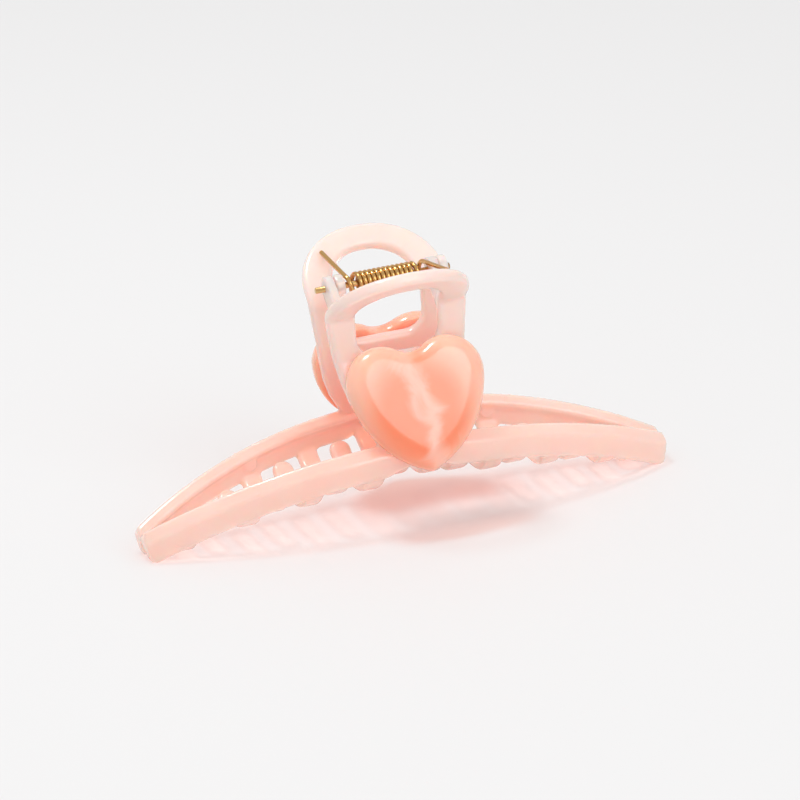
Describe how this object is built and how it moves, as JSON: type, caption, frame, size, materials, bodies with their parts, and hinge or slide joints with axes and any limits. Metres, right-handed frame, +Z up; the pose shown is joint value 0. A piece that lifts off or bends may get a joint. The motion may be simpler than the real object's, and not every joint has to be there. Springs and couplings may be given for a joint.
{
  "type": "claw clip",
  "caption": "Spring-loaded hair claw with two long arched toothed jaws, open bent handles and a puffy heart glued on each side.",
  "frame": {"origin": "middle of the resting plane, under the hinge", "axes": "+X along the clip from tip to tip, -Y out of the front jaw, +Z up through the hinge"},
  "size_m": [0.1146, 0.0384, 0.0574],
  "materials": {
    "jelly_plastic": "translucent milky pink, glossy",
    "heart_plastic": "marbled translucent coral, glossy",
    "gold_pin": "polished gold plate",
    "gold_wire": "polished gold plate"
  },
  "bodies": {
    "back_half": {"back_jaw": "jelly_plastic", "back_heart": "heart_plastic", "hinge_pin": "gold_pin", "torsion_spring": "gold_wire"},
    "front_half": {"front_jaw": "jelly_plastic", "front_heart": "heart_plastic"}
  },
  "joints": [
    {"name": "jaw_open", "type": "hinge", "parent": "back_half", "child": "front_half", "pos_m": [0, 0, 0.0505], "axis": [-1, 0, 0], "range_deg": [0, 75], "stiffness_Nm_per_rad": 0.09, "springref_deg": -51.57, "deforming": ["torsion_spring"]}
  ]
}
